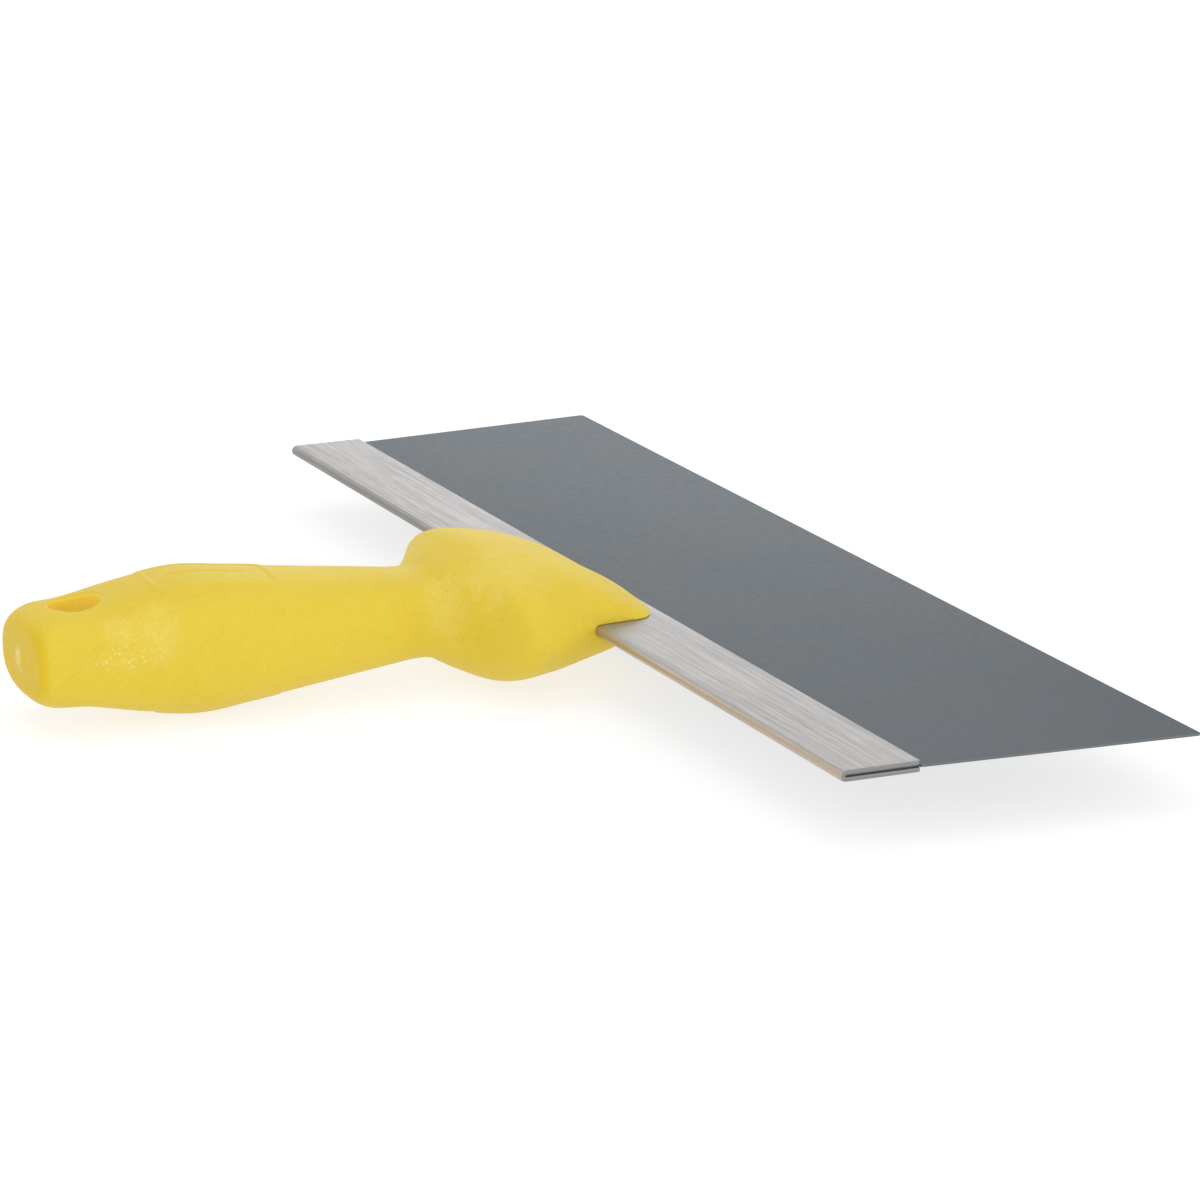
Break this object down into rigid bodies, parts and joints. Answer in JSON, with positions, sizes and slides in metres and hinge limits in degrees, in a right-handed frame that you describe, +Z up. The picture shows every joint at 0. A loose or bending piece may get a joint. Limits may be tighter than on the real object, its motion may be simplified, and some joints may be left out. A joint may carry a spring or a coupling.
{
  "type": "drywall taping knife",
  "caption": "Wide taping knife: a flexible steel blade in a folded metal backing channel, with a moulded plastic handle whose lips grip the channel and a hang hole at its end.",
  "frame": {"origin": "middle of the knife's bounding box, on the surface that it lies on", "axes": "+X along the working edge, +Y from the handle to the working edge, +Z up, square to the blade sheet"},
  "size_m": [0.3046, 0.194, 0.0298],
  "materials": {
    "handle_plastic": "moulded yellow plastic, satin, with a faint pebbled grain",
    "channel_metal": "brushed along its length",
    "blade_steel": "blued spring steel, satin",
    "rivet_metal": "plain"
  },
  "bodies": {
    "root": {"handle": "handle_plastic", "backing_channel": "channel_metal", "blade": "blade_steel", "rivet_left": "rivet_metal", "rivet_centre": "rivet_metal", "rivet_right": "rivet_metal"}
  },
  "joints": []
}
